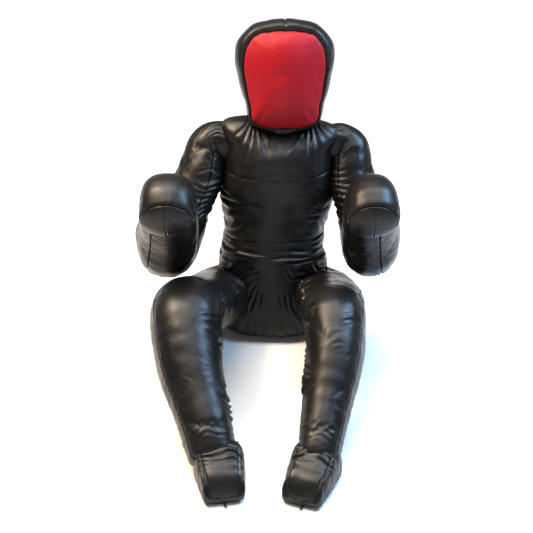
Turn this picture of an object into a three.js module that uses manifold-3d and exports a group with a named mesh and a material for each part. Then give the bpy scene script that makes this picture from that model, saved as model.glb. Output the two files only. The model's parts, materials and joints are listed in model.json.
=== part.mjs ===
// Grappling dummy, seated on the floor with its knees up and its hands raised.
// Leather covers are sewn round firm fillings. Each limb ends in a round gusset that turns in the
// hollow end of the next one, so every limb can be bent by hand.
// Units are millimetres. +Z is up, the dummy faces -Y, and the origin is on the floor under the
// seat. Left and right are the dummy's own, so its left side is at +X.

import * as THREE from 'three';
import { mergeVertices } from 'three/addons/utils/BufferGeometryUtils.js';
import Module from 'manifold-3d';

const wasm = await Module();
wasm.setup();

// ---- Driving dimensions ----------------------------------------------------------------------

const SKIN = 2.4;          // leather with its foam backing
const FILL_GAP = 0.4;      // between a cover and the filling inside it
const SEAM_GAP = 0.5;      // between two sewn panels
const JOINT_GAP = 1.0;     // between a round gusset and the hollow it turns in
const ROUND = 10;          // facets round a limb
const BALL_ROUND = 10;
const BALL_RINGS = 7;
const BARREL_ROUND = 12;
const FAR = 1200;          // longer than any body, for cutting planes

const WAIST = [15, 30, 205];
const WAIST_HALF = [136, 100, 100];
const NECK = [38, 105, 560];
const HEAD = { centre: [42, 110, 707], half: [137, 100, 143], tilt: 13 };

const RADIUS = { neck: 55, shoulder: 64, elbow: 78, hip: 92, knee: 92, ankle: 48 };

// Smallest angle that the two bones of a hinge close to, in degrees.
const CLOSED = { elbow: 68, knee: 90 };

const SIDES = {
  right: {
    out: -1,
    shoulder: [-172, 95, 502], elbow: [-271, -80, 283], hand: [-248, -280, 505],
    hip: [-140, -20, 105], knee: [-202, -360, 254], ankle: [-131, -695, 54], toe: [-101, -805, 0],
  },
  left: {
    out: 1,
    shoulder: [229, 95, 502], elbow: [270, -80, 290], hand: [253, -280, 502],
    hip: [155, -20, 105], knee: [178, -360, 242], ankle: [113, -705, 54], toe: [73, -825, 0],
  },
};

// Each profile is a list of [distance along the bone, radius].
const TORSO = { base: WAIST, top: [38, 110, 560], flat: 0.72, floor: 226, ceiling: 547, yoke: 455,
  profile: [[0, 138], [60, 140], [200, 157], [305, 152], [350, 112]] };
const PELVIS = { centre: [10, 15], flat: 0.92, height: 185, seat: 14, crotch: 58, front: -5,
  profile: [[0, 122], [12, 136], [65, 151], [130, 146], [185, 122]] };
const UPPER_ARM = [[0, 48], [110, 52], [295, 65]];
const FOREARM = [[0, 70], [70, 75], [300, 66]];
const MITT = { direction: [0, -0.99, -0.1], cap: 44,
  profile: [[-56, 44], [0, 76], [38, 72], [60, 50]] };
const THIGH = [[0, 80], [110, 92], [376, 84]];
const SHIN = [[0, 80], [120, 83], [300, 55], [385, 46]];
const FOOT = { width: 92, bevel: 10, sole: 6, heel: 34, length: 118, toe: 56, instep: 88 };

const SOLE_ZIP = { slot: 16, chain: [8, 2.2], slider: [10, 14, 2.1], pull: [6, 26, 1.6], from: 8 };
const BACK_ZIP = { from: 72, length: 120, chain: [9, 2.4], slider: [12, 15, 3], pull: [7, 24, 1.8] };

// ---- Materials -------------------------------------------------------------------------------

const LEATHER = { color: 0x1b1a1a, roughness: 0.38, metalness: 0 };
const RED_LEATHER = { color: 0xb5222e, roughness: 0.4, metalness: 0 };
const PIPING = { color: 0x101010, roughness: 0.45, metalness: 0 };
const FILLING = { color: 0x8d8a84, roughness: 0.95, metalness: 0 };
const ZIP_CHAIN = { color: 0x17171a, roughness: 0.5, metalness: 0 };
const ZIP_METAL = { color: 0x9a9a9a, roughness: 0.3, metalness: 1 };

// ---- Solids ----------------------------------------------------------------------------------

const vec = (p) => new THREE.Vector3(...p);
const unit = (from, to) => vec(to).sub(vec(from)).normalize();
const degrees = THREE.MathUtils.degToRad;

function solid(geometry) {
  const bare = geometry.clone();
  bare.deleteAttribute('normal');
  bare.deleteAttribute('uv');
  const merged = mergeVertices(bare, 1e-3);
  const corners = merged.index.array;
  const points = merged.attributes.position;
  const triangles = [];
  let volume = 0;
  for (let i = 0; i < corners.length; i += 3) {
    const triangle = [corners[i], corners[i + 1], corners[i + 2]];
    if (new Set(triangle).size < 3) continue;
    const [a, b, c] = triangle.map((n) => new THREE.Vector3().fromBufferAttribute(points, n));
    volume += a.dot(b.cross(c));
    triangles.push(triangle);
  }
  const facing = volume < 0 ? triangles.map(([a, b, c]) => [a, c, b]) : triangles;
  return new wasm.Manifold(new wasm.Mesh({
    numProp: 3,
    vertProperties: new Float32Array(points.array),
    triVerts: new Uint32Array(facing.flat()),
  }));
}

function join(parts) {
  return parts.reduce((whole, part) => whole.add(part));
}

function cutBy(whole, cuts) {
  return cuts.reduce((rest, cut) => rest.subtract(cut), whole);
}

function biggest(piece) {
  return piece.decompose().reduce((best, part) => (part.volume() > best.volume() ? part : best));
}

// A frame at a point with +Y along a direction and +X as near as can be to the sideways direction.
function along(point, direction, sideways = [1, 0, 0]) {
  const y = direction.clone().normalize();
  const x = vec(sideways).addScaledVector(y, -vec(sideways).dot(y)).normalize();
  const z = new THREE.Vector3().crossVectors(x, y);
  return new THREE.Matrix4().makeBasis(x, y, z).setPosition(vec(point));
}

// A turned shape on the line from one point towards another, thinner by inset all over.
function turned(profile, from, to, { inset = 0, flat = 1 } = {}) {
  const [first, last] = [profile[0], profile[profile.length - 1]];
  const outline = [
    [first[0] + inset, 0],
    ...profile.map(([y, r], i) => {
      const end = i === 0 ? inset : i === profile.length - 1 ? -inset : 0;
      return [y + end, r - inset];
    }),
    [last[0] - inset, 0],
  ];
  const flatInset = 1 - inset * (1 / flat - 1) / Math.max(...profile.map(([, r]) => r));
  const lathe = new THREE.LatheGeometry(outline.map(([y, r]) => new THREE.Vector2(r, y)), ROUND);
  lathe.rotateY(Math.PI / ROUND);
  lathe.scale(1, 1, flat * flatInset);
  lathe.applyMatrix4(along(from, unit(from, to)));
  return solid(lathe);
}

function ball(centre, radius) {
  const sphere = new THREE.SphereGeometry(radius, BALL_ROUND, BALL_RINGS);
  sphere.translate(...centre);
  return solid(sphere);
}

// The hollow that a faceted ball of this radius can turn in whichever way its facets point.
function hollow(centre, radius) {
  const flats = Math.cos(Math.PI / BALL_ROUND) * Math.cos(Math.PI / (2 * BALL_RINGS));
  return ball(centre, (radius + JOINT_GAP) / flats);
}

function waistBarrel(inset) {
  const sphere = new THREE.SphereGeometry(1, BARREL_ROUND, BALL_RINGS);
  sphere.rotateZ(Math.PI / 2);
  sphere.scale(...WAIST_HALF.map((half) => half - inset));
  sphere.translate(...WAIST);
  return solid(sphere);
}

// Everything beyond a plane, on the side that its normal points to.
function beyond(point, normal) {
  const box = new THREE.BoxGeometry(FAR * 2, FAR * 2, FAR * 2);
  box.translate(0, FAR, 0);
  const sideways = Math.abs(normal.x) > 0.9 ? [0, 0, 1] : [1, 0, 0];
  box.applyMatrix4(along(point, normal, sideways));
  return solid(box);
}

function block(size, centre, matrix = new THREE.Matrix4()) {
  const box = new THREE.BoxGeometry(...size);
  box.translate(...centre);
  box.applyMatrix4(matrix);
  return solid(box);
}

// Both sides of a plane, with the seam's gap between them.
function seam(point, normal) {
  const shift = normal.clone().multiplyScalar(SEAM_GAP / 2);
  const ahead = vec(point).add(shift).toArray();
  const behind = vec(point).sub(shift).toArray();
  return [beyond(ahead, normal), beyond(behind, normal.clone().negate())];
}

// What a limb loses on the inside of a bend, so that the bones can close to the given angle.
function bendRoom(joint, own, other, closed, inset) {
  const bone = unit(joint, own);
  const axis = new THREE.Vector3().crossVectors(bone, unit(joint, other)).normalize();
  const edge = bone.clone().applyAxisAngle(axis, degrees(closed / 2 - 1.5));
  const keep = bone.clone().addScaledVector(edge, -bone.dot(edge)).normalize();
  const start = vec(joint).addScaledVector(keep, inset).toArray();
  return beyond(start, keep.negate());
}

// The cover and the filling of one stuffed body. shape(inset) is its outline moved inwards.
function stuffed(shape, cuts) {
  return {
    cover: cutBy(shape(0).subtract(shape(SKIN)), cuts),
    filling: biggest(cutBy(shape(SKIN + FILL_GAP), cuts)),
  };
}

// ---- The exported group ----------------------------------------------------------------------

const dummy = new THREE.Group();

function add(name, piece, look) {
  const { vertProperties, triVerts, numProp } = biggest(piece).getMesh();
  const points = new Float32Array(vertProperties.length / numProp * 3);
  for (let i = 0; i < points.length / 3; i += 1) {
    points.set(vertProperties.slice(i * numProp, i * numProp + 3), i * 3);
  }
  const geometry = new THREE.BufferGeometry();
  geometry.setAttribute('position', new THREE.BufferAttribute(points, 3));
  geometry.setIndex(new THREE.BufferAttribute(new Uint32Array(triVerts), 1));
  geometry.computeVertexNormals();
  const mesh = new THREE.Mesh(geometry, new THREE.MeshStandardMaterial(look));
  mesh.name = name;
  dummy.add(mesh);
}

// ---- Pelvis and waist ------------------------------------------------------------------------

// The space in front of the hips where a thigh swings, beside the crotch.
function thighRoom({ out }) {
  const size = 600;
  const x = PELVIS.centre[0] + out * (PELVIS.crotch + size / 2);
  return block([size, size, size], [x, PELVIS.front - size / 2, 0]);
}

function pelvis() {
  const [x, y] = PELVIS.centre;
  const shape = (inset) => join([
    turned(PELVIS.profile, [x, y, 0], [x, y, 1], { inset, flat: PELVIS.flat }),
    waistBarrel(inset),
  ]);
  const cuts = Object.values(SIDES).flatMap((side) => [
    thighRoom(side),
    hollow(side.hip, RADIUS.hip),
  ]);
  const { cover, filling } = stuffed(shape, cuts);
  const up = new THREE.Vector3(0, 0, 1);
  const [above, below] = seam([0, 0, PELVIS.height], up);
  const [higher, lower] = seam([0, 0, PELVIS.seat], up);
  const [behind, ahead] = seam([0, PELVIS.front, 0], new THREE.Vector3(0, 1, 0));
  const middle = cover.intersect(below).intersect(higher);
  add('waistband', cover.intersect(above), LEATHER);
  add('pelvis_front', middle.intersect(ahead), LEATHER);
  add('pelvis_back', middle.intersect(behind), LEATHER);
  add('seat_panel', cover.intersect(lower), LEATHER);
  add('pelvis_filling', filling, FILLING);
}

// ---- Torso, neck and head --------------------------------------------------------------------

function waistHollow() {
  const flats = Math.cos(Math.PI / BARREL_ROUND) * Math.cos(Math.PI / (2 * BALL_RINGS));
  return waistBarrel(WAIST_HALF[2] - (WAIST_HALF[2] + JOINT_GAP) / flats);
}

function torso() {
  const shape = (inset) => turned(TORSO.profile, TORSO.base, TORSO.top, { inset, flat: TORSO.flat });
  const up = new THREE.Vector3(0, 0, 1);
  const cuts = [
    waistHollow(),
    beyond([0, 0, TORSO.floor], up.clone().negate()),
    beyond([0, 0, TORSO.ceiling], up),
    hollow(NECK, RADIUS.neck),
    ...Object.values(SIDES).map((side) => hollow(side.shoulder, RADIUS.shoulder)),
  ];
  const { cover, filling } = stuffed(shape, cuts);
  const spine = unit(TORSO.base, TORSO.top);
  const backwards = new THREE.Vector3(0, spine.z, -spine.y);
  const [behind, ahead] = seam(TORSO.base, backwards);
  const [above, below] = seam([0, 0, TORSO.yoke], up);
  const front = cover.intersect(ahead);
  add('torso_front', front.intersect(below), LEATHER);
  add('chest_yoke', front.intersect(above), LEATHER);
  add('torso_back', cover.intersect(behind), LEATHER);
  add('torso_filling', filling, FILLING);
}

// The head is an egg that is boxy in front view, flatter in front and narrower at the chin.
function headShape(inset) {
  const [halfWidth, halfDepth, halfHeight] = HEAD.half.map((half) => half - inset);
  const egg = new THREE.SphereGeometry(1, 16, 9);
  egg.rotateX(Math.PI / 2);
  const points = egg.attributes.position;
  const boxy = (value, power) => Math.sign(value) * Math.abs(value) ** power;
  for (let i = 0; i < points.count; i += 1) {
    const [x, y, z] = [points.getX(i), points.getY(i), points.getZ(i)];
    const jaw = 1 - 0.3 * THREE.MathUtils.smoothstep(-z, -0.1, 1);
    points.setXYZ(i, boxy(x, 0.88) * halfWidth * jaw, boxy(y, y < 0 ? 0.8 : 0.95) * halfDepth,
      boxy(z, 0.92) * halfHeight);
  }
  egg.rotateX(degrees(-HEAD.tilt));
  egg.translate(...HEAD.centre);
  return solid(egg);
}

function head() {
  const faceWay = new THREE.Vector3(0, -Math.cos(degrees(HEAD.tilt)), Math.sin(degrees(HEAD.tilt)));
  const faceSeam = vec(HEAD.centre).addScaledVector(faceWay, 58).toArray();
  const { cover, filling } = stuffed(headShape, [hollow(NECK, RADIUS.neck)]);
  const [ahead, behind] = seam(faceSeam, faceWay);
  const pipe = 2;
  const pipeBack = vec(faceSeam).addScaledVector(faceWay, -pipe).toArray();
  const pipeFront = vec(faceSeam).addScaledVector(faceWay, pipe).toArray();
  const band = beyond(pipeBack, faceWay).subtract(beyond(pipeFront, faceWay));
  add('head_hood', cover.intersect(behind), LEATHER);
  add('face_panel', cover.intersect(ahead), RED_LEATHER);
  add('face_piping', headShape(-pipe).subtract(headShape(-0.4)).intersect(band), PIPING);
  add('head_filling', filling, FILLING);
  add('neck_collar', ball(NECK, RADIUS.neck), LEATHER);
}

// ---- Arms ------------------------------------------------------------------------------------

function upperArm(name, { shoulder, elbow, hand, out }) {
  const shape = (inset) => turned(UPPER_ARM, shoulder, elbow, { inset })
    .subtract(bendRoom(elbow, shoulder, hand, CLOSED.elbow, inset))
    .add(ball(elbow, RADIUS.elbow - inset));
  const { cover, filling } = stuffed(shape, [hollow(shoulder, RADIUS.shoulder)]);
  const bone = unit(shoulder, elbow);
  const outwards = new THREE.Vector3(out, 0, 0).addScaledVector(bone, -out * bone.x).normalize();
  const [outer, inner] = seam(elbow, outwards);
  add(`upper_arm_outer_${name}`, cover.intersect(outer), LEATHER);
  add(`upper_arm_inner_${name}`, cover.intersect(inner), LEATHER);
  add(`upper_arm_filling_${name}`, filling, FILLING);
}

function forearm(name, { shoulder, elbow, hand, out }) {
  const knuckles = vec(hand).add(vec(MITT.direction)).toArray();
  const shape = (inset) => turned(FOREARM, elbow, hand, { inset })
    .subtract(bendRoom(elbow, hand, shoulder, CLOSED.elbow, inset))
    .add(turned(MITT.profile, hand, knuckles, { inset }));
  const { cover, filling } = stuffed(shape, [hollow(elbow, RADIUS.elbow)]);
  const reach = vec(MITT.direction).normalize();
  const capSeam = vec(hand).addScaledVector(reach, MITT.cap).toArray();
  const [cap, sleeve] = seam(capSeam, reach);
  const [outer, inner] = seam(hand, new THREE.Vector3(out, 0, 0));
  add(`mitt_cap_${name}`, cover.intersect(cap), LEATHER);
  add(`forearm_outer_${name}`, cover.intersect(sleeve).intersect(outer), LEATHER);
  add(`forearm_inner_${name}`, cover.intersect(sleeve).intersect(inner), LEATHER);
  add(`forearm_filling_${name}`, filling, FILLING);
}

// ---- Legs ------------------------------------------------------------------------------------

function upperLeg(name, { hip, knee, ankle }) {
  const shape = (inset) => turned(THIGH, hip, knee, { inset })
    .subtract(bendRoom(knee, hip, ankle, CLOSED.knee, inset))
    .add(ball(knee, RADIUS.knee - inset));
  const { cover, filling } = stuffed(shape, [hollow(hip, RADIUS.hip)]);
  const bone = unit(hip, knee);
  const upwards = new THREE.Vector3(0, 0, 1).addScaledVector(bone, -bone.z).normalize();
  const [upper, under] = seam(knee, upwards);
  add(`thigh_top_${name}`, cover.intersect(upper), LEATHER);
  add(`thigh_under_${name}`, cover.intersect(under), LEATHER);
  add(`thigh_filling_${name}`, filling, FILLING);
}

function lowerLeg(name, { hip, knee, ankle }) {
  const shape = (inset) => turned(SHIN, knee, ankle, { inset })
    .subtract(bendRoom(knee, ankle, hip, CLOSED.knee, inset))
    .add(ball(ankle, RADIUS.ankle - inset));
  const { cover, filling } = stuffed(shape, [hollow(knee, RADIUS.knee)]);
  const bone = unit(knee, ankle);
  const forwards = new THREE.Vector3(0, -1, 0).addScaledVector(bone, bone.y).normalize();
  const [front, back] = seam(ankle, forwards.z > 0 ? forwards : forwards.negate());
  add(`shin_front_${name}`, cover.intersect(front), LEATHER);
  add(`calf_back_${name}`, cover.intersect(back), LEATHER);
  add(`shin_filling_${name}`, filling, FILLING);
}

// A frame on the floor under the ankle, with +Y towards the toe.
function footFrame({ ankle, toe }) {
  const ground = [ankle[0], ankle[1], 0];
  const turn = new THREE.Matrix4().makeBasis(
    new THREE.Vector3().crossVectors(unit(ground, toe), new THREE.Vector3(0, 0, 1)),
    unit(ground, toe),
    new THREE.Vector3(0, 0, 1),
  );
  return turn.setPosition(vec(ground));
}

// The foot is its side view extruded across its width, with rounded long edges.
function footShape(side, inset) {
  const outline = new THREE.Shape();
  outline.moveTo(-FOOT.heel, 0);
  outline.lineTo(FOOT.length - 6, 0);
  outline.lineTo(FOOT.length, 8);
  outline.lineTo(FOOT.length - 6, FOOT.toe - 8);
  outline.lineTo(FOOT.length - 18, FOOT.toe);
  outline.lineTo(44, FOOT.instep);
  outline.lineTo(14, FOOT.instep + 8);
  outline.lineTo(-18, 50);
  outline.lineTo(-FOOT.heel - 6, 18);
  outline.closePath();
  const across = FOOT.width - 2 * FOOT.bevel;
  const block3d = new THREE.ExtrudeGeometry(outline, {
    depth: across, steps: 1, bevelEnabled: true, bevelSegments: 1,
    bevelThickness: FOOT.bevel - inset, bevelSize: FOOT.bevel - inset,
    bevelOffset: -FOOT.bevel,
  });
  block3d.translate(0, 0, -across / 2);
  block3d.applyMatrix4(new THREE.Matrix4().makeBasis(
    new THREE.Vector3(0, 1, 0), new THREE.Vector3(0, 0, 1), new THREE.Vector3(1, 0, 0),
  ));
  block3d.applyMatrix4(footFrame(side));
  return solid(block3d);
}

function foot(name, side) {
  const frame = footFrame(side);
  const { slot, chain, slider, pull, from } = SOLE_ZIP;
  const slotLength = FOOT.length + FOOT.heel;
  const slotCut = block([slot, slotLength, 2 * FOOT.sole + 2], [0, FOOT.length / 2 + from, 0], frame);
  const shinRoom = beyond(
    vec(side.ankle).addScaledVector(unit(side.ankle, side.knee), 12).toArray(),
    unit(side.ankle, side.knee),
  );
  const shape = (inset) => footShape(side, inset);
  const { cover, filling } = stuffed(shape, [hollow(side.ankle, RADIUS.ankle), shinRoom]);
  const [above, below] = seam([0, 0, FOOT.sole], new THREE.Vector3(0, 0, 1));
  const whole = cutBy(shape(0), [shinRoom, slotCut]);
  add(`foot_upper_${name}`, cover.intersect(above), LEATHER);
  add(`foot_sole_${name}`, whole.intersect(below), LEATHER);
  add(`foot_filling_${name}`, filling.intersect(above), FILLING);

  const start = FOOT.length / 2 + from - slotLength / 2 + 2;
  const chainLength = FOOT.length - 7 - start;
  const chainBase = FOOT.sole - 0.6 - chain[1];
  add(`sole_zip_chain_${name}`,
    block([chain[0], chainLength, chain[1]], [0, start + chainLength / 2, chainBase + chain[1] / 2],
      frame), ZIP_CHAIN);
  const sliderEnd = FOOT.length - 6;
  const sliderLow = chainBase - 0.3 - slider[2];
  add(`sole_zip_slider_${name}`,
    block(slider, [0, sliderEnd - slider[1] / 2, sliderLow + slider[2] / 2], frame), ZIP_METAL);
  add(`sole_zip_pull_${name}`,
    block(pull, [0, sliderEnd + 0.5 + pull[1] / 2, sliderLow + pull[2] / 2], frame), ZIP_METAL);
}

// ---- Back zip --------------------------------------------------------------------------------

// A frame on the middle of the back with +Y up along the zip and +Z out of the back.
function backZipFrame() {
  const spine = unit(TORSO.base, TORSO.top);
  const frame = along(TORSO.base, spine);
  const [low, high] = [TORSO.profile[1], TORSO.profile[2]];
  const flats = Math.cos(Math.PI / ROUND) * TORSO.flat;
  const slope = Math.atan2((high[1] - low[1]) * flats, high[0] - low[0]);
  const depth = (low[1] + (BACK_ZIP.from - low[0]) * Math.tan(slope) / flats) * flats;
  const place = new THREE.Matrix4().makeTranslation(0, BACK_ZIP.from, -depth);
  const lean = new THREE.Matrix4().makeRotationX(-slope);
  const flip = new THREE.Matrix4().makeRotationY(Math.PI);
  return frame.multiply(place).multiply(lean).multiply(flip);
}

function backZip() {
  const { length, chain, slider, pull } = BACK_ZIP;
  const frame = backZipFrame();
  const lift = 1.2;
  const sliderMiddle = lift + chain[1] + 0.3 + slider[2] / 2;
  const hinge = new THREE.Vector3(0, length - slider[1] - 1.6, sliderMiddle).applyMatrix4(frame);
  const hanging = new THREE.Matrix4().makeTranslation(hinge.x, hinge.y, hinge.z);
  add('back_zip_chain',
    block([chain[0], length, chain[1]], [0, length / 2, lift + chain[1] / 2], frame), ZIP_CHAIN);
  add('back_zip_slider',
    block(slider, [0, length - slider[1] / 2, sliderMiddle], frame), ZIP_METAL);
  add('back_zip_pull',
    block([pull[0], pull[2], pull[1]], [0, 0, -pull[1] / 2], hanging), ZIP_METAL);
}

// ---- Assembly --------------------------------------------------------------------------------

pelvis();
torso();
head();
backZip();
for (const [name, side] of Object.entries(SIDES)) {
  add(`shoulder_gusset_${name}`, ball(side.shoulder, RADIUS.shoulder), LEATHER);
  upperArm(name, side);
  forearm(name, side);
  add(`hip_gusset_${name}`, ball(side.hip, RADIUS.hip), LEATHER);
  upperLeg(name, side);
  lowerLeg(name, side);
  foot(name, side);
}

export default dummy;
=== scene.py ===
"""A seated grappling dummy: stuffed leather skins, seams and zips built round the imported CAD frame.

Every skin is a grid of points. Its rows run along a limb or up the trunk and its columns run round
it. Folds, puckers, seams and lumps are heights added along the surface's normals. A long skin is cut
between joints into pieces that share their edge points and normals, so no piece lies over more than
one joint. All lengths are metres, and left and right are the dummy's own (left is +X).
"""

import json
import math

import bpy
import numpy as np
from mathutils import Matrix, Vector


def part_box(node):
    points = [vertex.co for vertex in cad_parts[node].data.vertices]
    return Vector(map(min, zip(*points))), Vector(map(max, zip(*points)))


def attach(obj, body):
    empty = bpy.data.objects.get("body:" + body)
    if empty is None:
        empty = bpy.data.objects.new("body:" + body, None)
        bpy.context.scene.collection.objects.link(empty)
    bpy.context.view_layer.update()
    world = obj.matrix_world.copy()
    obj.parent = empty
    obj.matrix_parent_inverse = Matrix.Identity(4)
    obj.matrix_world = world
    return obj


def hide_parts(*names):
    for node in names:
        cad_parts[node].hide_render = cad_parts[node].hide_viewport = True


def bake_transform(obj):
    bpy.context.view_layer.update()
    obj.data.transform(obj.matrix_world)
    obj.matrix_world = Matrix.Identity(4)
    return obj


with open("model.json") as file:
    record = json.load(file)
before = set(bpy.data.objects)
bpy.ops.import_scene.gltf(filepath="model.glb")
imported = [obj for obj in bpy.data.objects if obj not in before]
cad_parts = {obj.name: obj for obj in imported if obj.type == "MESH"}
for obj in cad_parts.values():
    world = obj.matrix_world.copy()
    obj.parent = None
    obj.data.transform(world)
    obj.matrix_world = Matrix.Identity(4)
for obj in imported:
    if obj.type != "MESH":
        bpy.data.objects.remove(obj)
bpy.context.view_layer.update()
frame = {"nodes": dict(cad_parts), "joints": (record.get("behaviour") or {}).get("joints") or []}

SIDES = ("right", "left")
OUT = {"right": -1.0, "left": 1.0}
UP = np.array([0.0, 0.0, 1.0])
FRONT = np.array([0.0, -1.0, 0.0])
JOINTS = {joint["name"]: joint for joint in frame["joints"]}


# ---- Places, numbers and noise ----

def place(joint):
    return np.array(JOINTS[joint]["pos_m"], float)


def axis(joint):
    return np.array(JOINTS[joint]["axis"], float)


def corners(node):
    low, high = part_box(node)
    return np.array(low), np.array(high)


def mirrored(side, angle):
    """An angle round the right limb, or the mirrored angle round the left one."""
    return angle if side == "right" else np.pi - angle


def unit(vector):
    vector = np.asarray(vector, float)
    return vector / np.linalg.norm(vector, axis=-1, keepdims=True)


def ramp(low, high, x):
    t = np.clip((x - low) / (high - low), 0, 1)
    return t * t * (3 - 2 * t)


def plateau(low, full, fall, end, x):
    """Rises from 0 to 1 between the first two values of x and falls back between the last two."""
    return ramp(low, full, x) * (1 - ramp(fall, end, x))


def hill(x, centre, width):
    return np.exp(-((x - centre) / width) ** 2)


def turn(angle):
    """An angle in radians brought between -pi and pi."""
    return (angle + np.pi) % (2 * np.pi) - np.pi


def eased(keys, values, x):
    """Smooth interpolation through key values that never overshoots them."""
    keys, values = np.asarray(keys, float), np.asarray(values, float)
    gaps = np.diff(keys)
    slopes = np.diff(values) / gaps
    bends = np.zeros(len(keys))
    same_way = slopes[:-1] * slopes[1:] > 0
    harmonic = 2 * slopes[:-1] * slopes[1:] / np.where(same_way, slopes[:-1] + slopes[1:], 1)
    bends[1:-1] = np.where(same_way, harmonic, 0)
    bends[0], bends[-1] = slopes[0], slopes[-1]
    i = np.clip(np.searchsorted(keys, x) - 1, 0, len(keys) - 2)
    t = np.clip((x - keys[i]) / gaps[i], 0, 1)
    a = (1 + 2 * t) * (1 - t) ** 2 * values[i] + t * t * (3 - 2 * t) * values[i + 1]
    b = (t * (1 - t) ** 2 * bends[i] - t * t * (1 - t) * bends[i + 1]) * gaps[i]
    return a + b


class Wobble:
    """Smooth noise of one grain size: sine waves in fixed directions."""

    def __init__(self, seed, size, waves=12):
        rng = np.random.default_rng(seed)
        ways = unit(rng.normal(size=(waves, 3)))
        self.waves = ways * (2 * np.pi / size) * rng.uniform(0.65, 1.35, (waves, 1))
        self.phase = rng.uniform(0, 2 * np.pi, waves)

    def __call__(self, points):
        return np.sin(points @ self.waves.T + self.phase).sum(-1) / math.sqrt(len(self.phase) / 2)


def crowded(low, high, step, near, spread, extra):
    """Values from low to high about a step apart, and closer together near the given places."""
    fine = np.linspace(low, high, 4000)
    density = np.ones_like(fine)
    for spot in near:
        density += extra * hill(fine, spot, spread)
    total = np.concatenate([[0], np.cumsum((density[1:] + density[:-1]) / 2)])
    count = max(8, int(total[-1] / len(fine) * (high - low) / step))
    return np.interp(np.linspace(0, total[-1], count), total, fine)


def run_along(points):
    """The distance along a row of points, from the first one to each."""
    steps = np.linalg.norm(np.diff(points, axis=0), axis=1)
    return np.concatenate([[0], np.cumsum(steps)])


# ---- Skins ----

class Path:
    """Straight runs through corner points, joined by arcs of the given radii."""

    def __init__(self, bends, radii):
        self.bends = [np.array(bend, float) for bend in bends]
        points = [self.bends[0]]
        marks = [0]
        for before, corner, after, radius in zip(self.bends, self.bends[1:], self.bends[2:], radii):
            into, away = unit(corner - before), unit(after - corner)
            angle = math.acos(np.clip(into @ away, -1, 1))
            start = corner - into * radius * math.tan(angle / 2)
            inwards = unit(away - into * (into @ away))
            arc = [
                start + into * radius * math.sin(a) + inwards * radius * (1 - math.cos(a))
                for a in np.linspace(0, angle, 25)
            ]
            marks.append(len(points) + len(arc) // 2)
            points += arc
        points.append(self.bends[-1])
        marks.append(len(points) - 1)
        self.nodes = np.array(points)
        self.run = run_along(self.nodes)
        self.marks = self.run[marks]

    def at(self, s):
        inside = np.stack([np.interp(s, self.run, self.nodes[:, k]) for k in range(3)], -1)
        first, last = unit(self.nodes[1] - self.nodes[0]), unit(self.nodes[-1] - self.nodes[-2])
        before = np.minimum(s, 0)[..., None] * first
        beyond = np.maximum(s - self.run[-1], 0)[..., None] * last
        return inside + before + beyond

    def way(self, s, reach=0.006):
        return unit(self.at(s + reach) - self.at(s - reach))


class Skin:
    """A tube on a path.

    Each key is (distance, half width, half height above, half height below, squareness). Lines are
    the seams that run along the tube: each is an angle, or an angle with (distance, drift) pairs.
    Points are closer together at lines and at rings, the seams that run round it.
    """

    def __init__(self, path, keys, guide=UP, lines=(), rings=(), bow=None, step=0.004):
        keys = np.array(keys, float)
        run = run_along(keys[:, :2])
        fine = np.linspace(0, run[-1], 3000)
        reach = eased(run, keys[:, 0], fine)
        ring_runs = [np.interp(ring, reach, fine) for ring in rings]
        rows = crowded(0, run[-1], step, ring_runs, 0.005, 3.5)
        self.rows_at, self.half_width, self.above, self.below, power = (
            eased(run, keys[:, k], rows) for k in range(5)
        )
        widest = self.half_width.max()
        line_angles = [turn(line[0]) for line in lines]
        columns = crowded(-np.pi, np.pi, step / widest, line_angles, 0.005 / widest, 4.0)
        self.columns = columns[:-1]
        self.angle = np.tile(self.columns, (len(self.rows_at), 1))
        for line in lines:
            if len(line) > 1:
                spots, drifts = zip(*line[1:])
                drift = eased(spots, drifts, np.clip(self.rows_at, spots[0], spots[-1]))
                self.angle += drift[:, None] * hill(turn(self.columns - line[0]), 0, 0.75)[None, :]
        self.along = np.broadcast_to(self.rows_at[:, None], self.angle.shape)
        centre, ahead = path.at(self.rows_at), path.way(self.rows_at)
        over = unit(guide - ahead * (ahead @ guide)[:, None])
        aside = np.cross(over, ahead)
        if bow is not None:
            centre = centre + aside * bow(self.rows_at)[:, None]
        cos, sin = np.cos(self.angle), np.sin(self.angle)
        x = np.sign(cos) * np.abs(cos) ** (2 / power[:, None])
        y = np.sign(sin) * np.abs(sin) ** (2 / power[:, None])
        height = np.where(sin > 0, self.above[:, None], self.below[:, None])
        self.points = (
            centre[:, None, :]
            + aside[:, None, :] * (self.half_width[:, None] * x)[..., None]
            + over[:, None, :] * (height * y)[..., None]
        )

    @property
    def girth(self):
        """The mean radius of each row, to turn an angle into a distance round the skin."""
        return ((self.half_width + (self.above + self.below) / 2) / 2)[:, None]

    def normals(self):
        return grid_normals(self.points)

    def push(self, height):
        self.points = self.points + self.normals() * height[..., None]

    def from_line(self, angle):
        """The distance round the skin from the seam that was declared at this angle."""
        return turn(self.columns - angle)[None, :] * self.girth

    def stuff(self, held, seams, width, puff, slack, pressure):
        """Blows the skin up by cloth, held in where held is 1 and along the seams at these angles."""
        for seam in seams:
            held = held + hill(self.from_line(seam), 0, width)
        self.points = stuffed_grid(self.points, np.clip(held, 0, 1), puff, slack, pressure)


def grid_faces(rows, columns):
    """The four-cornered faces of a grid whose last column meets its first."""
    i, j = np.meshgrid(np.arange(rows - 1), np.arange(columns), indexing="ij")
    after = (j + 1) % columns
    ring = [i * columns + j, i * columns + after, (i + 1) * columns + after, (i + 1) * columns + j]
    return np.stack(ring, -1).reshape(-1, 4)


def grid_normals(points):
    ring = np.concatenate([points[:, -1:], points, points[:, :1]], 1)
    normal = np.cross(ring[:, 2:] - ring[:, :-2], np.gradient(points, axis=0))
    return normal / np.maximum(np.linalg.norm(normal, axis=-1, keepdims=True), 1e-12)


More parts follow.
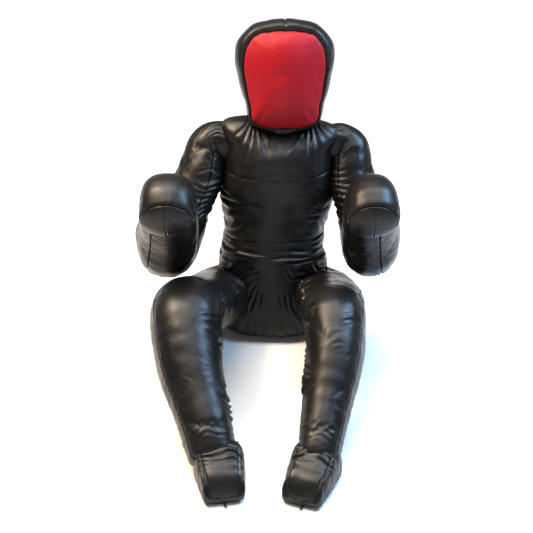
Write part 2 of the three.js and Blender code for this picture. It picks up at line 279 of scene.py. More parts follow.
CLOTH_STEPS = 20
CLOTH = {
    "pin_stiffness": 3.0,
    "quality": 6,
    "mass": 0.25,
    "tension_stiffness": 18.0,
    "compression_stiffness": 18.0,
    "shear_stiffness": 8.0,
    "bending_stiffness": 0.6,
}


def cloth_shift(coarse, held, slack, pressure):
    """How far Blender's cloth moves each point of a grid under pressure, with gravity off."""
    mesh = bpy.data.meshes.new("stuffing")
    mesh.from_pydata(coarse.reshape(-1, 3).tolist(), [], grid_faces(*coarse.shape[:2]).tolist())
    dummy = linked("stuffing", mesh)
    group = dummy.vertex_groups.new(name="held")
    for index, weight in enumerate(held.reshape(-1)):
        if weight > 0.02:
            group.add([index], float(min(weight, 1.0)), "REPLACE")
    cloth = dummy.modifiers.new("cloth", "CLOTH")
    for key, value in CLOTH.items():
        setattr(cloth.settings, key, value)
    cloth.settings.vertex_group_mass = "held"
    cloth.settings.use_pressure = True
    cloth.settings.uniform_pressure_force = pressure
    cloth.settings.shrink_min = -slack
    cloth.settings.effector_weights.gravity = 0.0
    cloth.collision_settings.use_collision = False
    for step in range(1, CLOTH_STEPS + 1):
        bpy.context.scene.frame_set(step)
    result = dummy.evaluated_get(bpy.context.evaluated_depsgraph_get()).to_mesh()
    moved = np.zeros(len(result.vertices) * 3)
    result.vertices.foreach_get("co", moved)
    bpy.context.scene.frame_set(1)
    bpy.data.objects.remove(dummy, do_unlink=True)
    bpy.data.meshes.remove(mesh)
    return moved.reshape(coarse.shape) - coarse


def stuffed_grid(points, held, puff, slack, pressure):
    """A grid blown up by cloth run on every second point. No point moves farther than puff.

    Held is 1 where a seam or a hidden end keeps the cover still, and 0 where it may swell.
    """
    rows = np.unique(np.append(np.arange(0, points.shape[0], 2), points.shape[0] - 1))
    columns = np.arange(0, points.shape[1], 2)
    shift = cloth_shift(points[rows][:, columns], held[rows][:, columns], slack, pressure)
    length = np.linalg.norm(shift, axis=-1, keepdims=True)
    shift *= puff * np.tanh(length / puff) / np.maximum(length, 1e-9)
    every_row, every_column = np.arange(points.shape[0]), np.arange(points.shape[1])
    shift = np.concatenate([shift, shift[:, :1]], 1)
    columns = np.append(columns, points.shape[1])
    wide = np.empty((len(rows), points.shape[1], 3))
    spread = np.empty_like(points)
    for k in range(3):
        for row in range(len(rows)):
            wide[row, :, k] = np.interp(every_column, columns, shift[row, :, k])
        for column in every_column:
            spread[:, column, k] = np.interp(every_row, rows, wide[:, column, k])
    return points + spread


def point_normals(points, faces):
    """Each point's normal, weighted by the size of the faces round it."""
    normals = np.zeros_like(points)
    first, second, third, fourth = (points[faces[:, corner]] for corner in range(4))
    cross = np.cross(third - first, fourth - second)
    for corner in range(4):
        np.add.at(normals, faces[:, corner], cross)
    return normals / np.maximum(np.linalg.norm(normals, axis=1, keepdims=True), 1e-12)


def linked(name, data):
    thing = bpy.data.objects.new(name, data)
    bpy.context.scene.collection.objects.link(thing)
    return thing


def mesh_object(name, points, faces, material, normals=None):
    mesh = bpy.data.meshes.new(name)
    mesh.from_pydata([tuple(p) for p in points], [], [tuple(f) for f in faces])
    mesh.materials.append(material)
    mesh.polygons.foreach_set("use_smooth", [True] * len(mesh.polygons))
    if normals is not None:
        mesh.normals_split_custom_set_from_vertices([tuple(n) for n in normals])
    mesh.update()
    return linked(name, mesh)


def grid_pieces(grid, cuts, materials, names):
    """Cuts a grid of points at rows into named objects that share their edges' normals.

    A fan of faces round a middle point closes each end of the whole grid.
    """
    rows, columns = grid.shape[:2]
    flat = grid.reshape(-1, 3)
    faces = grid_faces(rows, columns)
    normals = point_normals(flat, faces)
    edges = [0, *cuts, rows - 1]
    pieces = []
    for first, last, material, name in zip(edges, edges[1:], materials, names):
        own = flat[first * columns:(last + 1) * columns]
        points, shades = list(own), list(normals[first * columns:(last + 1) * columns])
        own_faces = list(faces[first * columns:last * columns] - first * columns)
        for row, at_end, order in ((0, first == 0, -1), (last - first, last == rows - 1, 1)):
            if at_end:
                ring = np.arange(row * columns, (row + 1) * columns)
                hub, middle = len(points), own[ring].mean(0)
                across = np.cross(own[ring[1]] - own[ring[0]], middle - own[ring[0]])
                points.append(middle)
                shades.append(unit(across * order + 1e-12))
                for a, b in zip(ring, np.roll(ring, -1)):
                    own_faces.append((a, b, hub) if order > 0 else (b, a, hub))
        pieces.append(mesh_object(name, points, own_faces, material, shades))
    return pieces


# ---- Folds ----

def groove(distance, depth, width):
    """A sewn seam pulled into the stuffing, with the leather rolled up a little on both sides."""
    rolled = hill(np.abs(distance), 3.2 * width, 2.0 * width)
    return -1.3 * depth * hill(distance, 0, 0.8 * width) + 0.15 * depth * rolled


def crease(phase, sharp=1.6):
    """Rounded ridges with narrow valleys between them, from 0 to 1."""
    return (0.5 + 0.5 * np.sin(phase)) ** (1 / sharp)


def folds(distance, size, sharp=1.6):
    """A fold every so many metres of the distance, from -0.5 to 0.5."""
    return crease(2 * np.pi * distance / size, sharp) - 0.5


def puckers(along, distance, points, seed, size, depth, reach):
    """Gathers that run away from a seam at a slant, some deep and some faint."""
    uneven = Wobble(seed, 0.07)(points)
    strength = np.clip(0.45 + 0.75 * Wobble(seed + 1, 0.085)(points), 0.0, 1.5)
    fade = np.exp(-np.abs(distance) / (reach * (0.75 + 0.35 * Wobble(seed + 2, 0.06)(points) ** 2)))
    phase = 2 * np.pi * (along + 0.3 * np.abs(distance) + 0.0075 * uneven) / size
    return depth * strength * (crease(phase) - 0.55) * fade


def patchy(points, seed, size, mean, spread, least, most=1.5):
    """A strength that is uneven over the skin, for folds that are deep here and faint there."""
    return np.clip(mean + spread * Wobble(seed, size)(points), least, most)


def lumps(points, seed, rough, fine):
    return rough * Wobble(seed, 0.2)(points) + fine * Wobble(seed + 1, 0.05)(points)


# ---- Materials ----

class Nodes:
    """A short way to write a material's nodes."""

    def __init__(self, name):
        self.material = bpy.data.materials.new(name)
        self.material.use_nodes = True
        self.tree = self.material.node_tree
        self.shader = self.tree.nodes["Principled BSDF"]
        self.where = self.add("TexCoord", "Object")

    def feed(self, socket, value):
        """Links a node's output to the socket, or sets the socket to a plain value."""
        if isinstance(value, bpy.types.NodeSocket):
            self.tree.links.new(value, socket)
        else:
            socket.default_value = value

    def add(self, kind, output, inputs=(), **settings):
        """Adds a node, sets it up, and gives the output that is wanted from it."""
        node = self.tree.nodes.new("ShaderNode" + kind)
        for key, value in settings.items():
            setattr(node, key, value)
        for key, value in dict(inputs).items():
            self.feed(node.inputs[key], value)
        return node.outputs[output]

    def noise(self, scale, detail):
        inputs = {"Vector": self.where, "Scale": scale, "Detail": detail, "Roughness": 0.55}
        return self.add("TexNoise", "Fac", inputs)

    def cells(self, scale):
        return self.add("TexVoronoi", "Distance", {"Vector": self.where, "Scale": scale})

    def math(self, operation, a, b):
        return self.add("Math", 0, {0: a, 1: b}, operation=operation)

    def mapped(self, value, low, high, to_low, to_high):
        inputs = {"Value": value, "From Min": low, "From Max": high, "To Min": to_low, "To Max": to_high}
        return self.add("MapRange", "Result", inputs)

    def blended(self, factor, first, second):
        """One colour where the factor is 0 and the other where it is 1: a Mix node's inputs 6 and 7."""
        inputs = {"Factor": factor, 6: (*first, 1.0), 7: (*second, 1.0)}
        return self.add("Mix", 2, inputs, data_type="RGBA")

    def bump(self, height, strength, distance, **under):
        inputs = {"Height": height, "Strength": strength, "Distance": distance, **under}
        return self.add("Bump", "Normal", inputs)

    def set(self, **inputs):
        for key, value in inputs.items():
            self.feed(self.shader.inputs[key.replace("_", " ")], value)
        return self.material


def leather(name, colour, worn, rough, grain=0.35, shine=0.5):
    """Smooth synthetic leather: a fine pebbled grain, faint rubbing, and uneven gloss."""
    nodes = Nodes(name)
    patches = nodes.noise(7.0, 4.0)
    smears = nodes.noise(34.0, 3.0)
    rubbed = nodes.mapped(patches, 0.45, 0.75, 0.0, 1.0)
    base = nodes.blended(rubbed, colour, worn)
    broad_gloss = nodes.mapped(patches, 0.3, 0.7, rough - 0.04, rough + 0.05)
    gloss = nodes.math("ADD", broad_gloss, nodes.mapped(smears, 0.3, 0.7, -0.03, 0.03))
    pebbles = nodes.cells(900.0)
    pores = nodes.noise(1600.0, 2.0)
    relief = nodes.math("ADD", nodes.math("MULTIPLY", pebbles, 0.8), nodes.math("MULTIPLY", pores, 0.4))
    fine = nodes.bump(relief, grain, 0.0004)
    soft = nodes.bump(nodes.noise(55.0, 3.0), 0.22, 0.0012, Normal=fine)
    return nodes.set(Base_Color=base, Roughness=gloss, Normal=soft, Specular_IOR_Level=shine)


def textured(name, pattern, dark, light, bump, rough, **inputs):
    """A material whose colour and relief follow a pattern, as does its gloss if rough is a range."""
    nodes = Nodes(name)
    kind, *measures = pattern
    relief = getattr(nodes, kind)(*measures)
    shade = nodes.blended(relief, dark, light)
    if isinstance(rough, tuple):
        rough = nodes.mapped(relief, 0.3, 0.7, *rough)
    return nodes.set(Base_Color=shade, Roughness=rough, Normal=nodes.bump(relief, *bump), **inputs)


BLACK = leather("black_leather_skin", (0.0042, 0.004, 0.0039), (0.0075, 0.007, 0.0066), 0.36, shine=0.27)
RED = leather("red_leather_face", (0.275, 0.0036, 0.01), (0.31, 0.008, 0.014), 0.42, grain=0.6, shine=0.17)
PIPE = leather("black_piping", (0.004, 0.004, 0.004), (0.008, 0.008, 0.008), 0.45)
THREAD = textured("grey_thread", ("noise", 1400.0, 2.0), (0.03, 0.03, 0.0312), (0.05, 0.05, 0.052),
                  (0.5, 0.0002), 0.6)
TAPE = textured("zip_tape_weave", ("cells", 1500.0), (0.004, 0.004, 0.005), (0.02, 0.02, 0.022),
                (0.6, 0.0003), 0.75)
METAL = textured("zip_nickel", ("noise", 260.0, 4.0), (0.42, 0.41, 0.39), (0.68, 0.67, 0.65),
                 (0.2, 0.0002), (0.2, 0.42), Metallic=1.0)


# ---- Pieces over joints and riding pieces ----

def finish_soft(piece, bodies, span=None):
    """Rides a stuffed piece on its one body, or, where it lies over a joint, bakes its place into its mesh.
    """
    if span is None:
        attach(piece, bodies[0])
    else:
        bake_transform(piece)


def cut_skin(skin, cuts, rows, ending=""):
    """Cuts a skin into pieces: (name, its bodies, the span of the joint it lies over, the nodes that it
    replaces).
    """
    names = [f"{name}_skin{ending}" for name, *_ in rows]
    pieces = grid_pieces(skin.points, np.searchsorted(skin.rows_at, cuts), [BLACK] * len(rows), names)
    for piece, (_, bodies, span, replaced) in zip(pieces, rows):
        finish_soft(piece, bodies, span)
        if replaced:
            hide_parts(*(node + ending for node in replaced))


def tube_points(points, radius, sides, closed=False):
    """A grid of points round a line, whose end meets its start if it is closed."""
    if closed:
        ahead = np.roll(points, -1, 0) - np.roll(points, 1, 0)
    else:
        ahead = np.gradient(points, axis=0)
    ahead = unit(ahead)
    over = np.zeros_like(points)
    last = UP if abs(ahead[0] @ UP) < 0.9 else FRONT
    for k, way in enumerate(ahead):
        last = unit(last - way * (way @ last))
        over[k] = last
    aside = np.cross(over, ahead)
    angle = np.linspace(0, 2 * np.pi, sides, endpoint=False)
    ring = aside[:, None] * np.cos(angle)[None, :, None] + over[:, None] * np.sin(angle)[None, :, None]
    return points[:, None] + ring * radius


def piping_loop(name, points, radius, body):
    """A piping cord sewn in all the way round."""
    grid = tube_points(points, radius, sides=8, closed=True)
    grid = np.concatenate([grid, grid[:1]], 0)
    piece = mesh_object(name, grid.reshape(-1, 3), grid_faces(*grid.shape[:2]), PIPE)
    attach(piece, body)
    return piece


STITCH_PITCH = 0.0045
STITCH_LENGTH = 0.0031
STITCH_RADIUS = 0.00035
STITCH_SIDES = 6
# A stitch's points: how far along it each one is, and how high over the leather.
STITCH_SHARES = np.array([0, 0.15, 0.5, 0.85, 1.0])
STITCH_LIFTS = np.array([-0.0006, 0.0001, 0.0003, 0.0001, -0.0006])


def stitch_row(name, points, normals, body):
    """Lockstitches along a line on a stiff piece: each dips into the leather at both ends."""
    run = run_along(points)
    one = grid_faces(len(STITCH_SHARES), STITCH_SIDES)
    vertices, faces = [], []
    for start in np.arange(0.5 * STITCH_PITCH, run[-1] - STITCH_PITCH, STITCH_PITCH):
        spots = start + STITCH_LENGTH * STITCH_SHARES
        on = np.stack([np.interp(spots, run, points[:, k]) for k in range(3)], -1)
        over = unit(np.stack([np.interp(spots, run, normals[:, k]) for k in range(3)], -1))
        rings = tube_points(on + over * STITCH_LIFTS[:, None], STITCH_RADIUS, STITCH_SIDES)
        faces += list(one + len(vertices))
        vertices += list(rings.reshape(-1, 3))
    piece = mesh_object(name, vertices, faces, THREAD)
    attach(piece, body)


# ---- Trunk ----

WAIST = place("waist_bend")
NECK = place("neck_nod")
# Heights of the waistband's two seams and of the chest seam.
BAND_LOW = 0.224
BAND_HIGH = 0.28
YOKE = 0.464
# Angles of the seams that run up the trunk.
FLANK_SEAMS = (-0.12, np.pi + 0.12)
BACK_SEAM = -np.pi / 2


def trunk_shape():
    """The trunk's path and its stuffed skin, from the seat up to the shoulders."""
    seat_low, seat_high = corners("seat_panel")
    base = np.array([(seat_low[0] + seat_high[0]) / 2, (seat_low[1] + seat_high[1]) / 2 - 0.006, 0.0])
    top = np.array([NECK[0] - 0.005, NECK[1] - 0.014, NECK[2] + 0.02])
    path = Path([base, WAIST + [-0.004, 0, 0.01], top], [0.25])
    # The keys are placed by height, and the leaning path is a little longer than it is high.
    rise = path.marks[1] / (WAIST[2] + 0.01)
    keys = [
        (0.0, 0.004, 0.004, 0.004, 3.2), (0.0006, 0.06, 0.06, 0.05, 3.2),
        (0.0014, 0.122, 0.108, 0.104, 3.1), (0.007, 0.136, 0.122, 0.117, 3.0),
        (0.03, 0.146, 0.13, 0.13, 2.8), (0.07, 0.151, 0.128, 0.139, 2.5), (0.12, 0.152, 0.118, 0.138, 2.4),
        (0.17, 0.154, 0.11, 0.128, 2.35), (0.21, 0.15, 0.104, 0.112, 2.35),
        (0.25, 0.138, 0.098, 0.104, 2.35), (0.29, 0.139, 0.1, 0.106, 2.35),
        (0.36, 0.152, 0.108, 0.113, 2.4), (0.4, 0.158, 0.113, 0.118, 2.45),
        (0.46, 0.148, 0.112, 0.121, 2.5), (0.51, 0.146, 0.1, 0.113, 2.5), (0.54, 0.158, 0.086, 0.098, 2.5),
        (0.56, 0.163, 0.072, 0.08, 2.5), (0.573, 0.158, 0.058, 0.064, 2.5),
        (0.583, 0.142, 0.046, 0.05, 2.4), (0.59, 0.105, 0.036, 0.04, 2.2), (0.594, 0.06, 0.024, 0.028, 2.0),
    ]
    keys = [(s * rise, *rest) for s, *rest in keys]
    rings = [BAND_LOW * rise, BAND_HIGH * rise, YOKE * rise]
    lines = [(BACK_SEAM,), *((seam,) for seam in FLANK_SEAMS)]
    skin = Skin(path, keys, guide=FRONT, rings=rings, lines=lines)
    held = hill(skin.along, rings[0], 0.006) + hill(skin.along, rings[1], 0.006)
    held += hill(skin.along, rings[2], 0.005)
    held += 1 - ramp(0.0, 0.02, skin.along)
    held += ramp(0.545, 0.575, skin.along)
    skin.stuff(held, FLANK_SEAMS, 0.006, puff=0.006, slack=0.005, pressure=3.0)
    # The chest sinks a little under the chin.
    under_chin = hill(skin.points[..., 0], NECK[0], 0.085) * ramp(0.505, 0.565, skin.points[..., 2])
    under_chin *= ramp(NECK[1], NECK[1] - 0.03, skin.points[..., 1])
    skin.points += under_chin[..., None] * np.array([0, 0.008, -0.012])
    return path, skin


def pleat_fan(points):
    """Gathers that spread over the chest from the two lower corners of the hood."""
    height = np.zeros(points.shape[:-1])
    for side in (-1, 1):
        dx = (points[..., 0] - NECK[0] - side * 0.076) * side
        dz = points[..., 2] - 0.604
        distance = np.hypot(dx, dz)
        angle = np.arctan2(dx, -dz)
        window = plateau(-1.05, -0.65, 0.75, 1.15, angle)
        length = 0.115 + 0.035 * np.sin(7.3 * angle + side) + 0.02 * np.sin(17.0 * angle)
        near = ramp(0.006, 0.024, distance) * (1 - ramp(0.35, 1.0, distance / length))
        uneven = 0.5 * Wobble(40 + side, 0.09)(points)
        strong = 0.8 + 0.35 * np.sin(11.0 * angle + 2 * side)
        height += 0.006 * window * near * strong * (crease(angle * 19.0 + uneven, 1.5) - 0.55)
    return height * ramp(0.0, 0.03, NECK[1] - 0.01 - points[..., 1])


def band_relief(points):
    """The waistband: two seams, and soft folds that run round between them."""
    z = points[..., 2]
    drift = 0.005 * Wobble(3, 0.16)(points)
    in_band = plateau(BAND_LOW - 0.002, BAND_LOW + 0.008, BAND_HIGH - 0.008, BAND_HIGH + 0.002, z)
    height = in_band * (0.0018 + 0.0044 * folds(z + drift, 0.0185, 1.4))
    height += groove(z - BAND_LOW - 0.3 * drift, 0.005, 0.0032)
    return height + groove(z - BAND_HIGH + 0.3 * drift, 0.004, 0.0028)


def flank_relief(skin, z, from_path):
    """Side seams, and drag folds from the armpits down towards the belly."""
    on_flank = ramp(0.35, 0.9, np.abs(from_path / skin.half_width[:, None]))
    on_flank *= plateau(BAND_HIGH, BAND_HIGH + 0.03, 0.405, 0.45, z)
    slant = z + 0.55 * np.abs(from_path) + 0.012 * Wobble(5, 0.11)(skin.points)
    height = 0.0046 * on_flank * patchy(skin.points, 6, 0.09, 0.6, 0.7, 0.1) * folds(slant, 0.027, 1.5)
    seam = np.minimum(*(np.abs(skin.from_line(angle)) for angle in FLANK_SEAMS))
    height += plateau(0.01, 0.03, 0.5, 0.52, z) * groove(seam, 0.0026, 0.0024)
    return height + (1 - ramp(0.42, 0.5, z)) * puckers(z, seam, skin.points, 9, 0.018, 0.002, 0.016)


def chest_relief(skin, x, z, across, front):
    """The chest seam, and the shoulder seams on the ridge from the neck to the armholes."""
    yoke = YOKE - 0.006 * (1 - np.clip(across, -1, 1) ** 2)
    height = front * groove(z - yoke, 0.0026, 0.002)
    height += front * puckers(x, z - yoke, skin.points, 7, 0.024, 0.0006, 0.012)
    ridge = np.minimum(np.abs(turn(skin.angle - 0.22)), np.abs(turn(skin.angle - np.pi + 0.22)))
    return height + ramp(0.535, 0.55, z) * groove(ridge * skin.girth * 0.75, 0.0034, 0.0026)


def lap_relief(points, z, from_middle, across, front):
    """The crotch panel's upright folds, and short slanting ones where the thighs pull the leather."""
    spread = from_middle / (0.45 + 3.4 * np.clip(0.165 - z, 0, 1))
    upright = folds(spread + 0.005 * Wobble(11, 0.09)(points), 0.026, 1.5)
    on_crotch = front * plateau(0.0, 0.03, 0.13, 0.16, z) * (1 - ramp(0.5, 0.8, np.abs(across)))
    height = 0.006 * on_crotch * upright * patchy(points, 12, 0.05, 0.7, 0.5, 0.15, 1.4)
    on_lap = front * plateau(0.135, 0.155, BAND_LOW - 0.018, BAND_LOW - 0.004, z)
    on_lap *= ramp(0.12, 0.4, np.abs(across))
    pull = np.abs(from_middle) * 0.85 + z + 0.005 * Wobble(13, 0.07)(points)
    return height + 0.0054 * on_lap * folds(pull, 0.019, 1.4)


def back_relief(skin, z, back):
    """The back's middle seam, below the zip and above it."""
    seam = skin.from_line(BACK_SEAM)
    low = back * (1 - ramp(BAND_LOW - 0.01, BAND_LOW, z))
    high = back * plateau(0.372, 0.38, 0.54, 0.56, z)
    height = low * ramp(0.02, 0.04, z) * groove(seam, 0.003, 0.0026)
    height += low * puckers(z, seam, skin.points, 15, 0.02, 0.0022, 0.02)
    height += high * groove(seam, 0.0028, 0.0026)
    return height + high * puckers(z, seam, skin.points, 17, 0.022, 0.0016, 0.02)


def trunk():
    path, skin = trunk_shape()
    x, z = skin.points[..., 0], skin.points[..., 2]
    from_path = x - path.at(skin.rows_at)[:, None, 0]
    across = from_path / skin.half_width[:, None]
    front = ramp(0.0, 0.35, np.sin(skin.angle))
    back = ramp(0.0, 0.35, -np.sin(skin.angle))
    height = lumps(skin.points, 1, 0.001, 0.0004)
    height += band_relief(skin.points)
    height += flank_relief(skin, z, from_path)
    height += chest_relief(skin, x, z, across, front)
    height += lap_relief(skin.points, z, x - path.bends[0][0], across, front)
    height += back_relief(skin, z, back)
    height *= ramp(0.0, 0.012, z)
    skin.push(height + pleat_fan(skin.points))
    skin.points[..., 2] = np.maximum(skin.points[..., 2], 0.0)
    span = (WAIST + [0, 0, -0.045], WAIST + [0, 0, 0.075])
    cut_skin(skin, [], [("trunk", ("pelvis", "torso"), span, [
        "waistband", "pelvis_front", "pelvis_back", "seat_panel", "pelvis_filling",
        "torso_front", "chest_yoke", "torso_back", "torso_filling",
    ])])


def neck():
    """The gathered collar under the chin."""
    path = Path([NECK + [0, -0.012, -0.02], NECK + [0, -0.006, 0.03], NECK + [0.002, 0.006, 0.085]], [0.08])
    keys = [
        (0.0, 0.098, 0.058, 0.06, 2), (0.025, 0.094, 0.062, 0.06, 2), (0.05, 0.086, 0.06, 0.058, 2),
        (0.075, 0.078, 0.052, 0.052, 2), (0.1, 0.07, 0.044, 0.048, 2),
    ]
    skin = Skin(path, keys, guide=FRONT)
    angle = skin.angle + 0.35 * Wobble(21, 0.08)(skin.points)
    skin.push(0.0036 * (crease(angle * 15, 1.4) - 0.5) + lumps(skin.points, 22, 0.0008, 0.0004))
    span = (NECK + [0, 0, -0.03], NECK + [0, 0, 0.02])
    cut_skin(skin, [], [("neck_collar", ("torso", "neck"), span, ["neck_collar"])])


# ---- Head ----

# Half outlines in front view, from chin to crown, as (sideways, upwards).
PANEL_OUTLINE = [(0, -0.143), (0.05, -0.14), (0.08, -0.129), (0.093, -0.078), (0.104, -0.02),
                 (0.108, 0.036), (0.097, 0.078), (0.076, 0.101), (0.04, 0.109), (0, 0.111)]
HOOD_OUTLINE = [(0, -0.149), (0.052, -0.146), (0.088, -0.135), (0.108, -0.07), (0.124, -0.012),
                (0.134, 0.044), (0.125, 0.088), (0.092, 0.124), (0.048, 0.138), (0, 0.141)]
# From the middle of the face, over its seam, round the rim to the middle of the back:
# (share of the panel's outline, share of the hood's outline, distance forward).
HEAD_PROFILE = np.array([
    (0.0, 0, 0.072), (0.35, 0, 0.0715), (0.65, 0, 0.0695), (0.85, 0, 0.0665), (0.95, 0, 0.063),
    (1.0, 0, 0.059), (0.68, 0.33, 0.058), (0.3, 0.7, 0.047), (0.08, 0.92, 0.025),
    (0, 1.0, -0.008), (0, 0.985, -0.035), (0, 0.93, -0.059), (0, 0.81, -0.08),
    (0, 0.6, -0.094), (0, 0.33, -0.0995), (0, 0.0, -0.101),
])
# Which keys of the profile the two seams that run round the head are at.
FACE_SEAM_KEY = 5
BACK_SEAM_KEY = 11
# The panel's corners have tucks: (angle, strength), deepest at the top ones.
FACE_TUCKS = ((0.99, 1.0), (np.pi - 0.99, 1.0), (-1.02, 0.6), (-np.pi + 1.02, 0.6))


def outline(half, angle):
    """A mirrored closed outline as a distance from the middle in each direction."""
    side, rise = np.array(half).T
    return eased(np.arctan2(rise, side), np.hypot(side, rise), np.arcsin(np.sin(angle)))


def head_shape():
    """The stuffed head as a grid of rings, from the middle of the face to the middle of the back.

    With it come each ring point's angle round the face, its distances out from the middle, sideways
    and upwards, and its row's distances from the face seam and from the back seam.
    """
    hood_low, hood_high = corners("head_hood")
    centre = np.array([(hood_low[0] + hood_high[0]) / 2, hood_high[1] - 0.1025, hood_high[2] - 0.141])
    up = axis("neck_turn")
    front = unit(FRONT - up * (up @ FRONT))
    aside = np.cross(front, up)
    angle = np.linspace(-np.pi, np.pi, 233)[:-1]
    mean_radii = HEAD_PROFILE[:, 0] * 0.105 + HEAD_PROFILE[:, 1] * 0.128
    run = run_along(np.stack([mean_radii, HEAD_PROFILE[:, 2]], -1))
    seam_run, back_run = run[FACE_SEAM_KEY], run[BACK_SEAM_KEY]
    rows = crowded(0.0015, run[-1] - 0.0015, 0.0036, [seam_run, back_run], 0.005, 3.0)
    of_panel, of_hood, forward = (eased(run, HEAD_PROFILE[:, k], rows)[:, None] for k in range(3))
    out = of_panel * outline(PANEL_OUTLINE, angle)[None, :] + of_hood * outline(HOOD_OUTLINE, angle)[None, :]
    sideways, upwards = out * np.cos(angle)[None, :], out * np.sin(angle)[None, :]
    from_seam, from_back = ((rows - seam)[:, None] + 0 * out for seam in (seam_run, back_run))
    # The face bulges most along its middle and falls away to the sides; the chin tucks under.
    ridge = 1 - (np.sqrt(sideways * sideways + 0.02 ** 2) - 0.02) / 0.095
    forward = forward + (from_seam < 0) * 0.029 * ridge * (1 - np.clip(of_panel, 0, 1) ** 4)
    chin = ramp(0.02, 0.14, -upwards)
    forward = forward - 0.01 * chin * of_hood * ramp(0, 0.03, 0.06 - forward)
    grid = centre + aside * sideways[..., None] + up * upwards[..., None] + front * forward[..., None]
    held = np.clip(hill(from_seam, 0, 0.005) + hill(from_back, 0, 0.005), 0, 1)
    grid = stuffed_grid(grid, held, puff=0.003, slack=0.001, pressure=3.0)
    return grid, angle, out, sideways, upwards, from_seam, from_back


def head_relief(grid, angle, out, sideways, upwards, from_seam, from_back):
    """Seams, puckers and tucks of the face panel and the hood."""
    on_face = from_seam < 0
    along = np.unwrap(angle)[None, :] * 0.115 + 0 * out
    height = lumps(grid, 31, 0.0008, 0.0003)
    height += groove(from_seam, 0.003, 0.0024)
    height += ~on_face * puckers(along, from_seam, grid, 33, 0.026, 0.0016, 0.022)
    height += on_face * puckers(along, from_seam, grid, 35, 0.023, 0.0011, 0.014)
    for tuck, strong in FACE_TUCKS:
        aim = turn(angle - tuck)[None, :] * out
        reach = ramp(0.085, 0.125, out) * on_face
        height -= 0.002 * strong * reach * hill(aim + 0.004, 0, 0.006)
        height += 0.0014 * strong * reach * (hill(aim, 0.012, 0.009) + hill(aim, -0.018, 0.01))
    low = ramp(0.09, 0.13, -upwards) * on_face
    height += low * puckers(along, from_seam, grid, 37, 0.019, 0.003, 0.022)
    height += groove(from_back, 0.0026, 0.0024)
    height += puckers(along, from_back, grid, 39, 0.02, 0.0014, 0.018)
    crown = ramp(0.0, 0.04, upwards) * (from_seam > 0.006) * (from_back < 0)
    height += crown * groove(sideways, 0.002, 0.0024)
    middle_back = (from_back > 0) * ramp(0, 0.01, np.abs(out) - 0.004)
    height += middle_back * groove(sideways, 0.0024, 0.0024)
    return height * ramp(0.0, 0.01, out)


def head():
    grid, *measures = head_shape()
    height = head_relief(grid, *measures)
    grid = (grid + grid_normals(grid) * height[..., None])[::-1, ::-1]
    *_, from_seam, _ = measures
    from_seam = from_seam[::-1, 0]
    cut = int(np.argmin(np.abs(from_seam)))
    hood_piece, face = grid_pieces(grid, [cut], [BLACK, RED], ["hood_skin", "face_skin"])
    for piece, slot in ((hood_piece, "black_leather"), (face, "red_leather")):
        finish_soft(piece, ("head",))
    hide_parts("head_hood", "head_filling")
    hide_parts("face_panel")
    stitched = int(np.argmin(np.abs(from_seam - 0.0075)))
    stitch_row("hood_stitches", grid[stitched], grid_normals(grid)[stitched], "head")
    piping = piping_loop("face_piping_cord", grid[cut], 0.0019, "head")
    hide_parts("face_piping")


# ---- Arms ----

# What the photograph shows different on the two arms.
ARM = {
    "right": {"slim": 1.0, "square": 2.5, "rise": 0.016, "under_seam": -2.2, "lean": 0.01, "drop": 0.007,
              "seed": 50},
    "left": {"slim": 0.93, "square": 2.3, "rise": 0.01, "under_seam": -1.25, "lean": 0.012, "drop": 0.004,
             "seed": 70},
}
# How far before the end of the arm's path the mitt's cap is sewn on, and how far past it the skin ends.
CAP_LENGTH = 0.013
TIP_BEYOND = 0.01


